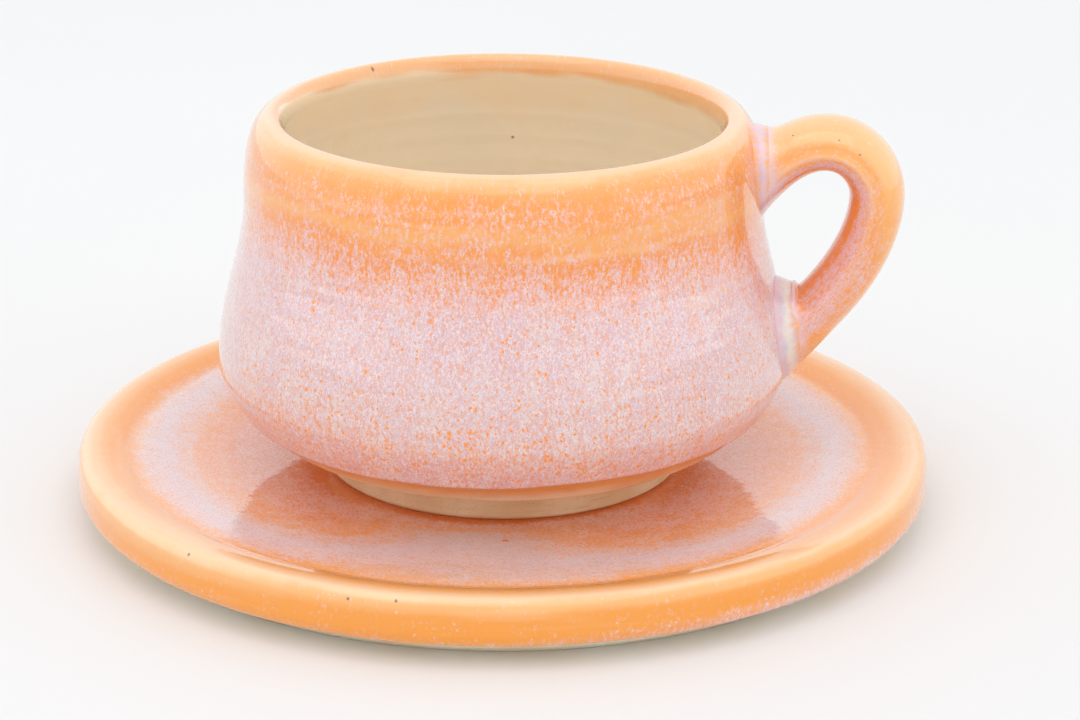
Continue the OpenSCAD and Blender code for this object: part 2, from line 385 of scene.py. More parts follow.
def reactiveGlaze(name, look):
    material, flow, relief = newLayers(name)
    drift = noise(scaled(flow, 1, 1, look["driftStretch"]), look["driftScale"], 2)
    streak = noise(scaled(flow, 1, 1, look["streakStretch"]), look["streakScale"], 3)
    shift = plus(centred(drift, look["drift"]), centred(streak, look["streak"]))
    shift = times(shift, spread(relief[1], look["calm"] * 0.6, look["calm"] * 1.4, 0.15, 1.0))
    place = plus(relief[1], shift)
    ground, veil, cover, spotShare = [ramp(place, look[key], look["reach"])
                                      for key in ("ground", "veil", "cover", "spots")]
    # glaze lies thin on the ridges and thick in the hollows
    ground = washed(ground, look["thin"], look["ridgePale"], relief[0], 0.0, 1.0)
    ground = washed(ground, look["thick"], look["hollowDeep"], relief[0], 0.0, -1.0)
    tone = noise(scaled(flow, look["toneFlat"], look["toneFlat"], 1), look["toneScale"], 3, 0.6)
    ground = washed(ground, look["thin"], look["toneShare"], tone, 0.54, 0.72)
    ground = washed(ground, look["thick"], look["toneShare"], tone, 0.46, 0.30)
    patch = noise(scaled(flow, 1, 1, look["patchStretch"]), look["patchScale"], 3, 0.6)
    cover = plus(cover, centred(patch, look["patch"]), clamp=True)
    # curled threads, closing up into a net where the cover is high
    curl = vectors("SUBTRACT", noise(flow, look["curlScale"], 2, out=1), (0.5, 0.5, 0.5))
    curled = vectors("ADD", flow, scaled(curl, look["curl"], look["curl"], look["curl"]))
    fine = scaled(curled, 1, 1, look["fleckStretch"])
    gate = minus(0.70, times(cover, 0.5))
    gate = spread(noise(fine, look["gateScale"], 1), minus(gate, 0.09), plus(gate, 0.17))

    def threads(kind):  # lines along which a noise is about a half
        off = calc("ABSOLUTE", minus(noise(fine, look[kind + "Scale"], 2, 0.6), 0.5))
        width = spread(cover, 0.0, 1.0, 0.02, look[kind + "Wide"])
        line = times(gate, spread(off, width, times(width, 0.4)))
        return times(line, look[kind + "Share"])

    cloud = noise(fine, look["cloudScale"], 3, 0.7)
    cloudFrom = minus(0.74, times(cover, 0.42))
    cloudMask = spread(cloud, minus(cloudFrom, look["cloudSoft"]),
                       plus(cloudFrom, look["cloudSoft"]))
    colour = mixed(times(cloudMask, look["cloudShare"]), ground, veil)
    tint = noise(fine, look["tintScale"], 2, 0.6)
    tinted = washed(veil, look["tint"], look["tintShare"], tint, 0.42, 0.68)
    colour = mixed(threads("net"), colour, tinted)
    colour = mixed(threads("thread"), colour, mixed(0.7, veil, look["thread"]))
    # round spots where the orange ground breaks through
    spot = spotted(scaled(curled, 1, 1, 0.85), look["spotScale"], spotShare, look["smallSpot"],
                   look["largeSpot"], 0.6, "SMOOTHSTEP")
    colour = mixed(spot, colour, look["spot"])
    if look["breaks"]:
        colour = mixed(dotsAt(flow, look["breaks"]), colour, look["deep"])
    speck = specks(flow, look["speckScale"], look["speckShare"], 0.10, 0.30)
    if look["dots"]:
        speck = calc("MAXIMUM", speck, dotsAt(flow, look["dots"]))
    colour = mixed(times(speck, 0.8), colour, look["speck"])
    # the last of the glaze has another colour along its edge
    edge = plus(relief[2], centred(cloud, look["edgeWander"]))
    colour = washed(colour, look["edge"], look["edgeShare"], edge, look["edgeWide"], 0.0)
    peel = times(noise(flow, look["peelScale"], 2), look["peel"])
    flecks = times(minus(cloudMask, spot), look["fleckHeight"])
    rough = spread(cloudMask, 0.0, 1.0, look["rough"], look["rough"] + 0.10)
    shaded(colour, rough, plus(flecks, peel), peel)
    return material


# Bare clay, toasted beside the glaze

clayBase = {
    "pale": srgb(244, 220, 184), "warm": srgb(232, 196, 150), "grog": srgb(184, 138, 98),
    "fleck": srgb(110, 80, 60), "toast": srgb(216, 130, 50), "toastWide": 6.0,
    "toastShare": 0.95, "ringScale": 2.6, "grain": 0.03,
}


def bareClay(name, look):
    material, flow, relief = newLayers(name)
    patch = noise(flow, 0.12, 3)
    colour = washed(look["pale"], look["warm"], 1.0, patch, 0.35, 0.7)
    turned = noise(scaled(flow, 0.03, 0.03, 1), look["ringScale"], 3, 0.6)
    colour = washed(colour, look["warm"], 0.5, turned, 0.48, 0.68)
    colour = washed(colour, look["grog"], 0.4, turned, 0.40, 0.28)
    grog = noise(flow, 4.2, 3, 0.7)
    colour = washed(colour, look["grog"], 0.45, grog, 0.56, 0.70)
    dots = specks(flow, 0.35, 0.3, 0.05, 0.16)
    colour = mixed(times(dots, 0.75), colour, look["fleck"])
    toasted = plus(relief[2], centred(noise(flow, 0.25, 3), look["toastWide"] * 0.5))
    colour = washed(colour, look["toast"], look["toastShare"], toasted, look["toastWide"], 0.0)
    height = times(plus(grog, turned), look["grain"])
    shaded(colour, spread(grog, 0.3, 0.7, 0.62, 0.82), height)
    return material


# Outlines of the cup

cupShape = {
    "neckRadius": 34.4, "neckHeight": 37.0, "bellyHeight": 15.0,
    "lipInset": 4.1, "mouthInset": 1.3, "mouthDrop": 2.4,
    "wall": 3.9, "base": 4.0, "coat": 0.35,
    "footRadius": 24.1, "footWidth": 3.4, "footHeight": 3.0, "footRecess": 2.0, "footLean": 0.5,
    "footEdge": 0.5, "coveWidth": 1.8, "coveHeight": 0.9,
    "undersideShares": (0.62, 0.08), "bellyShares": (0.27, 0.38), "neckShares": (0.3, 0.3),
    "crestShare": 0.95, "mouthShares": (0.6, 0.5), "innerNeckShares": (0.4, 0.36),
    "innerBellyShares": (0.3, 0.62), "floorShare": 0.55,
}

standing = boxOf("cup_body")[0][2]  # height of the well that the cup stands in
cupTop = boxOf("cup_outer_glaze")[1][2]
bellyRadius = -boxOf("cup_outer_glaze")[0][0]


def cupCurves(shape):  # the clay's outside up to the crest, and its inside down to the floor
    coat = shape["coat"]
    cove = np.array([shape["footRadius"] - shape["footLean"] + shape["coveWidth"],
                     standing + shape["footHeight"] + shape["coveHeight"]])
    belly = np.array([bellyRadius - coat, standing + shape["bellyHeight"]])
    neck = np.array([shape["neckRadius"] - coat, standing + shape["neckHeight"]])
    crest = np.array([shape["neckRadius"] - shape["lipInset"], cupTop - coat])
    low, mid, high = belly[1] - cove[1], neck[1] - belly[1], crest[1] - neck[1]
    under, lower, upper = shape["undersideShares"], shape["bellyShares"], shape["neckShares"]
    outside = joined(
        led(cove, [(belly[0] - cove[0]) * under[0], low * under[1]], [0, -low * lower[0]], belly),
        led(belly, [0, mid * lower[1]], [0, -mid * upper[0]], neck),
        led(neck, [0, high * upper[1]], [(neck[0] - crest[0]) * shape["crestShare"], 0], crest))
    mouth = np.array([crest[0] - shape["mouthInset"] + coat, cupTop - shape["mouthDrop"]])
    innerNeck = neck - [shape["wall"] - 2 * coat, shape["wall"]]
    innerBelly = belly - [shape["wall"] - 2 * coat, -shape["wall"] / 3]
    floorHeight = standing + shape["footRecess"] + shape["base"] - coat
    floorEdge = np.array([shape["footRadius"] - shape["footWidth"], floorHeight])
    drop = innerNeck[1] - innerBelly[1]
    lip, upper, lower = shape["mouthShares"], shape["innerNeckShares"], shape["innerBellyShares"]
    inside = joined(
        led(crest, [(mouth[0] - crest[0]) * lip[0], 0], [0, (crest[1] - mouth[1]) * lip[1]], mouth),
        led(mouth, [0, -shape["mouthDrop"]], [0, (mouth[1] - innerNeck[1]) * upper[0]], innerNeck),
        led(innerNeck, [0, -drop * upper[1]], [0, drop * lower[0]], innerBelly),
        led(innerBelly, [0, (floorHeight - innerBelly[1]) * lower[1]],
            [(innerBelly[0] - floorEdge[0]) * shape["floorShare"], 0], floorEdge),
        resampled(np.array([floorEdge, [0, floorHeight]]), 0.5))
    return outside, inside


cupOutside, cupInside = cupCurves(cupShape)
outsideLength = alongLine(cupOutside)[-1]


def wallRadius(height):  # of the cup's clay, from the cove to the crest
    return np.interp(height, cupOutside[:, 1], cupOutside[:, 0])


# Glaze coat of the cup

cupLook = dict(glazeBase, **{
    "reach": 64.0,  # millimetres that the ramps cover, starting inside the lip
    "ground": [(0, 250, 230, 200), (4.8, 250, 229, 198), (5.9, 246, 188, 132), (7, 246, 182, 122),
               (8.8, 247, 204, 158), (9.8, 246, 184, 120), (10.8, 246, 166, 88),
               (12.5, 246, 154, 64), (14.5, 246, 154, 64), (17, 247, 172, 98),
               (19.5, 246, 152, 66), (22, 244, 148, 60), (29, 240, 150, 74), (36, 238, 154, 82),
               (44, 238, 150, 74), (50, 232, 146, 82), (64, 222, 138, 84)],
    "veil": [(0, 246, 208, 190), (12, 240, 190, 188), (22, 232, 190, 198), (29, 214, 188, 204),
             (42, 214, 190, 202), (47, 216, 180, 190), (52, 216, 176, 184), (64, 214, 170, 178)],
    "cover": [(0, 0.0), (5, 0.05), (7, 0.20), (9, 0.12), (11, 0.22), (13.5, 0.38), (17.5, 0.32),
              (20, 0.42), (22.5, 0.54), (25, 0.66), (27.5, 0.76), (31, 0.82), (40, 0.82),
              (42.5, 0.76), (45, 0.70), (52, 0.76)],
    "spots": [(0, 0.0), (16, 0.0), (26, 0.08), (34, 0.20), (38, 0.44), (41, 0.70), (46, 0.74),
              (54, 0.1)],
    "dots": ((-25.5, 25.5, -0.65, 0.38),), "patch": 0.5,
})

coatForm = {
    "around": 360, "step": 0.3, "rampStart": 8.0, "flow": 36.0,
    "edgeRadius": 34.8, "edgeTilt": 0.7,  # the glaze stops under the belly, higher at the handle
    "edgeWaves": ((0.16, 5, 0.7), (0.10, 11, 2.1), (0.06, 23, 0)),  # and is wiped back by hand
    "lapAt": 4.2, "lapWave": 0.3, "lapTurn": math.radians(30),  # it runs out inside the lip
    "lapThin": 0.2, "lapFade": 2.0,
    "thinAt": 1.8, "thinWave": 1.1,  # where it is too thin to colour
    "thinWaves": ((0.22, 3, 0.4), (0.18, 7, 1.9), (0.14, 17, 0.8)), "thinReach": 2.4,
    "rolls": (0, 0.01, 0.04, 0.10, 0.18, 0.30, 0.50, 0.75, 1.0), "roll": 0.5,
    "bead": 0.10, "beadAt": 0.9, "beadWide": 0.5, "ridge": 0.018,
    "bandTilt": 2.2, "bandTurn": math.radians(200), "bandFrom": 4, "bandTo": 12,
}

cupEdgeAt = np.interp(coatForm["edgeRadius"], cupOutside[:lowPoints, 0],
                      alongLine(cupOutside)[:lowPoints])


def coatEdge(angle, form=coatForm):
    return wavy(cupEdgeAt + form["edgeTilt"] * np.cos(angle), angle, form["edgeWaves"])


def makeCupCoat(form=coatForm, coat=cupShape["coat"]):
    line = joined(cupOutside, cupInside)
    angle = circle(form["around"])[None, :]
    swing = np.cos(angle - form["lapTurn"])
    first, last = coatEdge(angle), outsideLength + (form["lapAt"] + form["lapWave"] * swing)
    rows = int((outsideLength + form["lapAt"] - cupEdgeAt) / form["step"]) + 1
    along, fromEdge, thick = coated(first, last, rows, coat, form)
    thick = thick - form["lapThin"] * (1 - smooth(last - along, 0, form["lapFade"]))
    down = outsideLength - along  # distance below the crest, on the outside
    ridge = throwing(down, angle) * smooth(down, 2.0, 6.0) * smooth(fromEdge, 0.5, 3.0)
    outer = lift(line, along, angle, thick + form["ridge"] * ridge)
    back = first + np.linspace(1, 0, 60)[:, None] * (last - first)
    rings = np.concatenate([outer, lift(line, back, angle, -0.03)])
    tilt = form["bandTilt"] * np.cos(angle - form["bandTurn"])
    shift = form["rampStart"] + tilt * smooth(down, form["bandFrom"], form["bandTo"])
    thinEdge = wavy(form["thinAt"] + form["thinWave"] * swing, angle, form["thinWaves"])
    inward = np.minimum(down, 0) * form["thinReach"] / np.maximum(thinEdge, 0.4)
    place = np.maximum(down, 0) + inward + shift
    layers = stacked(layersOf(form["flow"], angle, down, ridge, place, np.minimum(fromEdge, 50)),
                     layersOf(form["flow"], angle, outsideLength - back))
    piece = ringsMesh("cup_glaze_coat", rings, True, layers)
    dressed(piece, reactiveGlaze("cupGlaze", cupLook), "cup", "cup_glaze", "cup_outer_glaze")


makeCupCoat()
print("cup glaze made")


# Liner of the cup

linerLook = {
    "pale": srgb(248, 232, 206), "warm": srgb(248, 220, 182), "cool": srgb(244, 230, 206),
    "speck": srgb(120, 92, 70), "peel": 0.02,
    "dots": ((-28.8, 8.5, 2.8, 0.20), (-26.7, 13.6, 3.3, 0.20), (-2.4, 29.9, 12.3, 0.30)),
}

linerForm = {"around": 240, "step": 0.5, "thick": 0.22, "ridge": 0.035, "swirl": 24.0}


def linerGlaze(look):
    material, flow, relief = newLayers("linerGlaze")
    patch = noise(scaled(flow, 1, 1, 0.7), 0.08, 3)
    ringed = noise(scaled(flow, 0.06, 0.06, 1), 1.4, 3, 0.6)
    colour = washed(look["pale"], look["cool"], 1.0, patch, 0.4, 0.65)
    toLip = plus(relief[1], centred(patch, 16.0))
    colour = washed(colour, look["warm"], 0.75, toLip, 10.0, 3.0)
    colour = washed(colour, look["warm"], 0.15, ringed, 0.5, 0.8)
    dots = calc("MAXIMUM", specks(flow, 0.09, 0.2, 0.12, 0.30), dotsAt(flow, look["dots"]))
    colour = mixed(times(dots, 0.7), colour, look["speck"])
    peel = times(noise(flow, 0.6, 3), look["peel"])
    shaded(colour, spread(patch, 0.3, 0.7, 0.26, 0.38), peel, peel, 0.05)
    return material


def makeLiner(form=linerForm):
    length = alongLine(cupInside)[-1]
    angle = circle(form["around"])[None, :]
    along = np.linspace(0.3, length - 0.2, int(length / form["step"]))[:, None]
    under = along[::-1][::3]
    ridge = throwing(along, angle) * smooth(along, 3, 8)
    swirl = 1 + smooth(along, length - form["swirl"], length)  # stronger on the floor
    thick = form["thick"] * smooth(along, 0.2, 1.6) - 0.02
    outer = lift(cupInside, along, angle, thick + form["ridge"] * ridge * swirl)
    rings = np.concatenate([lift(cupInside, under, angle, -0.05), outer])
    layers = stacked(layersOf(30.0, angle, under), layersOf(30.0, angle, along, ridge))
    piece = ringsMesh("cup_liner", rings, False, layers)
    dressed(piece, linerGlaze(linerLook), "cup", "liner_glaze", "cup_liner_glaze")


makeLiner()
print("liner made")


# Clay of the cup

cupClayForm = {"around": 240, "step": 0.35, "turning": 0.05, "lines": (1.3, 0.7), "bevel": 0.12,
               "flow": 28.0}


def makeCupClay(shape=cupShape, form=cupClayForm):
    foot, inner = shape["footRadius"], shape["footRadius"] - shape["footWidth"]
    under = np.array([
        [0, shape["footRecess"]], [inner - shape["footRecess"] / 2, shape["footRecess"]],
        [inner, 0], [foot - shape["footEdge"], 0], [foot, shape["footEdge"]],
        [foot - shape["footLean"], shape["footHeight"]]]) + [0, standing]
    skins = (cupOutside[lowPoints:], -0.05), (cupInside[1:-1], -0.08)
    rings, layers = turnedClay(form, np.vstack([under, cupOutside[:1]]), cupOutside[:lowPoints],
                               skins, coatEdge,
                               lambda walked, height: smooth(walked, inner + 3, inner + 5))
    piece = ringsMesh("cup_clay", rings, False, layers)
    dressed(piece, bareClay("cupClay", clayBase), "cup", "cup_clay", "cup_body")


makeCupClay()
print("cup clay made")


# Handle, a pulled strap

handleShape = {
    "upperDrop": 6.8, "lowerHeight": 19.8, "out": 11.0, "crownDrop": 3.0,
    "thick": 7.4, "wide": 10.4, "upperSwell": 0.4, "lowerSwell": 1.2, "rootLength": 6.0,
    "upperRise": math.radians(44), "lowerRise": math.radians(40),
    "poolWide": 0.9, "poolThick": 0.3, "rootLevers": (0.8, 0.47), "reachLevers": (0.35, 0.3),
}

handleForm = {
    "steps": 200, "around": 112,
    "ridgeAt": 99.0, "ridgeWide": 7.0, "ridge": 0.16,  # degrees from the crown of the section
    "grooveAt": 80.0, "grooveWide": 8.0, "groove": 0.10,
    "hollow": 0.15, "hollowWide": 40.0,
    "fadeFrom": 10.0, "fadeTo": 30.0,  # the ridge fades, the flecks move out and spread
    "fadeTurn": -0.15, "fadeWiden": 0.6, "rootPool": 0.9,
    # on the upper half the band of flecks lies low, beside the finger gap
    "fullBand": (0, 4.8, 5.6, 7.4, 10), "lowBand": (0, 3.4, 4.4, 6.7, 10),
}

handleLook = dict(glazeBase, **{
    "reach": 12.0, "calm": 0.01,  # 0 is the outer face, 10 the inner
    "drift": 1.2, "driftScale": 0.1, "streak": 1.6, "streakScale": 0.6, "streakStretch": 0.12,
    # paler on the outer face, deeper orange on the inner: partly the glaze lying thin and thick,
    # partly painted light on the outer face and painted shade on the inner face
    "ground": [(0, 250, 196, 138), (2, 250, 190, 126), (3.6, 250, 176, 98), (4.6, 249, 162, 76),
               (6, 244, 150, 66), (7, 240, 142, 62), (10, 238, 144, 68), (12, 238, 148, 74)],
    "veil": [(0, 246, 204, 186), (4, 236, 194, 194), (6, 224, 184, 204), (12, 224, 178, 196)],
    "cover": [(0, 0.10), (2, 0.14), (3.4, 0.24), (4.4, 0.44), (5.2, 0.68), (5.8, 0.66),
              (6.6, 0.24), (7.4, 0.06), (12, 0.05)],
    "spots": [(0, 0.0), (12, 0.0)], "toneShare": 0.2,
    "cloudScale": 3.2, "netScale": 2.6, "netShare": 0.65, "threadScale": 3.8,
    "threadShare": 0.6, "tintShare": 0.3,
    "edgeWide": 2.2, "edgeWander": 6.0, "edgeShare": 0.8, "edge": srgb(232, 206, 212),
    "dots": ((3.28, -2.93, 5.5, 0.16), (2.13, -3.85, 10.2, 0.15), (1.45, -4.15, 12.8, 0.16)),
    "thin": srgb(255, 220, 178), "ridgePale": 0.4, "hollowDeep": 0.35, "patch": 0.6,
})


def travelOf(points, steps):  # direction of travel along the same curve
    p = np.array(points, float)
    t = np.linspace(0, 1, steps + 1)[:, None]
    d = ((1 - t) ** 2 * (p[1] - p[0]) + 2 * t * (1 - t) * (p[2] - p[1]) + t * t * (p[3] - p[2]))
    return np.arctan2(d[:, 1], d[:, 0])


def strapRoots(shape):
    def root(height, half):
        near = height + np.linspace(-1, 1, 11) * (half + shape["poolWide"])
        return np.array([cupShape["coat"] + shape["poolThick"] + wallRadius(near).max(), height])
    half = shape["thick"] / 2
    return (root(cupTop - shape["upperDrop"], half + shape["upperSwell"]),
            root(standing + shape["lowerHeight"], half + shape["lowerSwell"]))


def strapSpine(shape, steps):  # centre line, tilt and swell of the strap's sections
    upper, lower = strapRoots(shape)
    reach = np.array([bellyRadius + shape["out"], upper[1] - shape["crownDrop"]])
    span, drop = reach[0] - upper[0], reach[1] - lower[1]
    levers, ends = shape["rootLevers"], shape["reachLevers"]
    rises = [np.array([math.cos(rise), math.sin(rise)])
             for rise in (shape["upperRise"], shape["lowerRise"])]
    upperArc = [upper, upper + span * levers[0] * rises[0], reach + [0, span * ends[0]], reach]
    lowerArc = [reach, reach - [0, drop * ends[1]], lower + drop * levers[1] * rises[1], lower]
    centre = joined(bezier(upperArc, steps // 2), bezier(lowerArc, steps // 2))
    travel = np.r_[travelOf(upperArc, steps // 2), travelOf(lowerArc, steps // 2)[1:]]
    fromUpper = np.linalg.norm(centre - upper, axis=1) / shape["rootLength"]
    fromLower = np.linalg.norm(centre - lower, axis=1) / shape["rootLength"]
    tilt = travel * smooth(fromUpper) * smooth(fromLower) - math.pi * (1 - smooth(fromLower))
    swell = (shape["upperSwell"] * np.maximum(0, 1 - fromUpper) ** 2
             + shape["lowerSwell"] * np.maximum(0, 1 - fromLower) ** 2)
    return centre, travel, tilt, swell


def strapRings(angle, off, detail, shape=handleShape, form=handleForm):
    centre, travel, tilt, swell = strapSpine(shape, form["steps"])
    side = np.degrees(np.abs((angle + math.pi) % (2 * math.pi) - math.pi))
    walked = alongLine(centre)
    ends = smooth(walked, 0.5, 4) * smooth(walked[-1] - walked, 0.5, 4)
    worked = (form["ridge"] * hump(side, form["ridgeAt"], form["ridgeWide"])
              - form["groove"] * hump(side, form["grooveAt"], form["grooveWide"])
              - form["hollow"] * hump(side, 180, form["hollowWide"]))
    ends = ends * (1 - 0.6 * smooth(walked, form["fadeFrom"], form["fadeTo"]))
    extra = detail * ends[:, None] * worked[None, :] + off - cupShape["coat"]
    high = ((shape["thick"] / 2 + swell) / np.cos(tilt - travel))[:, None] + extra
    wide = (shape["wide"] / 2 + swell)[:, None] + extra
    over = high * np.cos(angle)[None, :]
    return np.stack([centre[:, 0][:, None] - np.sin(tilt)[:, None] * over,
                     wide * np.sin(angle)[None, :],
                     centre[:, 1][:, None] + np.cos(tilt)[:, None] * over], -1), walked, side


def makeHandleGlaze(form=handleForm):
    angle = circle(form["around"])
    rings, walked, side = strapRings(angle, cupShape["coat"] - 0.02, 1.0)
    hand = 0.05 * np.sin(walked / 5.1 + 0.4) + 0.03 * np.sin(walked / 2.3 + 1.0)
    ends = smooth(walked, 2, 6) * smooth(walked[-1] - walked, 2, 6)
    rings = rings + (hand * ends)[:, None, None] * np.array([0, 1, 0])  # a pulled strap is uneven
    far = smooth(walked, form["fadeFrom"], form["fadeTo"])[:, None]
    ridge = (hump(side, form["ridgeAt"], form["ridgeWide"])
             - 0.8 * hump(side, form["grooveAt"], form["grooveWide"]))[None, :] * (1 - 0.8 * far)
    place = side[None, :] / 18
    place = (np.interp(place, form["fullBand"], form["lowBand"]) * (1 - far)
             + (place + form["fadeTurn"] - form["fadeWiden"] * (place - 5.5)) * far)
    fromRoot = np.minimum(walked, walked[-1] - walked)[:, None] - form["rootPool"]
    layers = layersOf(4.4, angle[None, :], walked[:, None], ridge, place, fromRoot)
    piece = ringsMesh("handle_glaze_coat", rings, False, layers)
    dressed(piece, reactiveGlaze("handleGlaze", handleLook), "cup", "handle_glaze",
            "handle_glaze")


makeHandleGlaze()
print("handle glaze made")


# Glaze pooled round the handle's roots

poolForm = {
    "around": 144, "across": 14, "sunk": 0.12, "waver": 0.15, "fill": 0.35,
    "upper": {"up": 1.35, "out": 0.6},  # reach up the strap and out on the wall
    "lower": {"up": 2.6, "out": 0.8},
}

upperPoolLook = {
    "pale": srgb(236, 192, 192), "grey": srgb(216, 186, 204), "violet": srgb(180, 158, 204),
    "cream": srgb(236, 210, 212), "core": 0.4, "strap": srgb(248, 180, 112),
    "wall": srgb(248, 174, 116), "peel": 0.03,
}
lowerPoolLook = dict(upperPoolLook, pale=srgb(226, 210, 214), grey=srgb(210, 202, 216),
                     cream=srgb(238, 230, 214), core=0.7, strap=srgb(244, 174, 122),
                     wall=srgb(228, 194, 204))


def pooledGlaze(name, look):
    material, flow, relief = newLayers(name)
    across = relief[1]  # 0 on the strap, 1 on the wall
    cloudy = noise(flow, 0.5, 3, 0.6)
    colour = washed(look["pale"], look["grey"], 1.0, cloudy, 0.35, 0.65)
    streak = noise(scaled(flow, 1, 1, 0.25), 1.6, 3, 0.65)
    colour = washed(colour, look["violet"], 0.8, streak, 0.52, 0.72)
    core = plus(across, centred(cloudy, 0.5))
    core = times(spread(core, 0.25, 0.5), spread(core, 0.8, 0.55))
    colour = mixed(times(core, look["core"]), colour, look["cream"])
    rim = plus(across, centred(streak, 0.9))
    colour = washed(colour, look["wall"], 1.0, rim, 0.60, 1.0)
    colour = washed(colour, look["strap"], 1.0, rim, 0.50, 0.08)
    peel = times(noise(flow, 0.7, 2), look["peel"])
    shaded(colour, spread(cloudy, 0.3, 0.7, 0.2, 0.34), peel, peel)
    return material


def makePool(name, where, look, node, form=poolForm):
    angle = circle(form["around"])
    reach = form[where]
    rings, walked, _ = strapRings(angle, cupShape["coat"], 1.0)
    if where == "lower":
        rings, walked = rings[::-1], walked[-1] - walked[::-1]
    wave = (np.sin(3 * angle + 0.5) + 0.6 * np.sin(7 * angle + 1.4)) / 1.6
    up = reach["up"] + form["waver"] * wave
    out = reach["out"] + form["waver"] * np.roll(wave, 31)

    def onStrap(distance):  # the strap's skin at a distance from the root, one for each angle
        return np.stack([[np.interp(distance[k], walked, rings[:, k, axis]) for axis in range(3)]
                         for k in range(len(angle))])

    def onWall(beyond, off):  # the wall's skin beyond the strap's outline at its root
        spoke = rings[0] - rings[0].mean(0)
        point = rings[0] + spoke * (beyond / np.linalg.norm(spoke, axis=1))[:, None]
        radius = wallRadius(point[:, 2]) + cupShape["coat"] + off
        point[:, 0] = np.sqrt(radius ** 2 - point[:, 1] ** 2)
        return point

    def sunkInto(point, distance, share):  # drawn in toward the strap's centre line
        middle = rings.mean(1)
        middle = np.stack([np.interp(distance, walked, middle[:, axis]) for axis in range(3)], -1)
        return point + (middle - point) * share

    top, low = sunkInto(onStrap(up), up, 0.02), onWall(out, -form["sunk"])
    corner = onStrap(0 * up) * (1 - form["fill"]) + (top + low) / 2 * form["fill"]
    t = np.linspace(0, 1, form["across"])[:, None, None]
    face = (1 - t) ** 2 * top + 2 * t * (1 - t) * corner + t ** 2 * low
    loop = np.concatenate([face, onWall(0 * out - 0.5, -0.2)[None],
                           sunkInto(onStrap(up * 0.5), up * 0.5, 0.08)[None]])
    place = np.r_[np.linspace(0, 1, form["across"]), 1, 0][:, None]
    spans = np.r_[0, np.cumsum(np.linalg.norm(np.diff(loop, axis=0), axis=2).mean(1))][:, None]
    piece = ringsMesh(name, loop, True, layersOf(5.0, angle[None, :], spans, 0.0, place))
    dressed(piece, pooledGlaze(where + "Pool", look), "cup", "pooled_glaze", node)


makePool("upper_pool_fillet", "upper", upperPoolLook, "upper_glaze_pool")
makePool("lower_pool_fillet", "lower", lowerPoolLook, "lower_glaze_pool")
print("glaze pools made")


# Saucer

saucerShape = {
    "crestInset": 1.9, "widestHeight": 4.6, "footInset": 6.0, "footWidth": 5.5, "recess": 1.2,
    "wellRoom": 3.9, "rimWide": 6.6, "rimDrop": 1.2,
    "sideShare": 0.33, "rimShares": (0.75, 0.95), "dishShare": 0.4,
}
saucerRadius, saucerTop = boxOf("saucer_glaze")[1][0], boxOf("saucer_glaze")[1][2]


def saucerCurve(shape):  # clay's outside from the foot over the rim to the middle of the well
    coat = cupShape["coat"]
    base = np.array([saucerRadius - shape["footInset"], 0.0])
    widest = np.array([saucerRadius - coat, shape["widestHeight"]])
    rim = np.array([saucerRadius - shape["crestInset"], saucerTop - coat])
    dish = rim - [shape["rimWide"], shape["rimDrop"]]
    well = np.array([cupShape["footRadius"] + shape["wellRoom"], standing - coat])
    share, rise, fall = shape["sideShare"], shape["rimShares"], shape["dishShare"]
    run = dish[0] - well[0]
    slope = np.array([1, (dish[1] - well[1]) / run])
    return joined(
        led(base, share * (widest - base), [0, -share * widest[1]], widest),
        led(widest, [0, (rim[1] - widest[1]) * rise[0]], [(widest[0] - rim[0]) * rise[1], 0], rim),
        led(rim, [-fall * shape["rimWide"], 0], fall * shape["rimWide"] * slope, dish),
        led(dish, -fall * run * slope, [fall * run, 0], well),
        resampled(np.array([well, [0, well[1]]]), 0.5))


saucerLine = saucerCurve(saucerShape)
saucerWalked = alongLine(saucerLine)

saucerForm = {
    "around": 480, "step": 0.3,
    "edgeHeight": 3.0, "edgeTilt": 0.25,  # where the glaze stops on the outer side
    "edgeWaves": ((0.10, 4, 0.3), (0.07, 9, 1.1), (0.04, 19, 0)),
    "rolls": (0, 0.01, 0.04, 0.10, 0.18, 0.30, 0.45, 0.7, 1.0), "roll": 0.4,
    "bead": 0.08, "beadAt": 0.8, "beadWide": 0.45,
    "ridge": 0.004, "grooveAt": 12.6, "grooveWide": 0.9, "groove": 0.12,
    "rampStart": 6.0, "bandTilt": 1.0,
    # an angle and its width; at the first the crest is painted paler, a painted highlight over the
    # crest's own cream; at the front the pale ring spreads inwards
    "pale": np.radians((-132, 26)), "paleAt": 12.7, "paintedHighlightReach": 4.5, "paintedHighlightShare": 0.6,
    "front": np.radians((-90, 36)), "frontShift": 1.3, "spreadFrom": 19.5, "spreadShare": 0.78,
    "footRing": (46.0, 40.5),  # the orange round the foot stays
    "skirt": np.radians((-35, 32)), "skirtShift": -5.0,  # the outer side takes on more veil
}

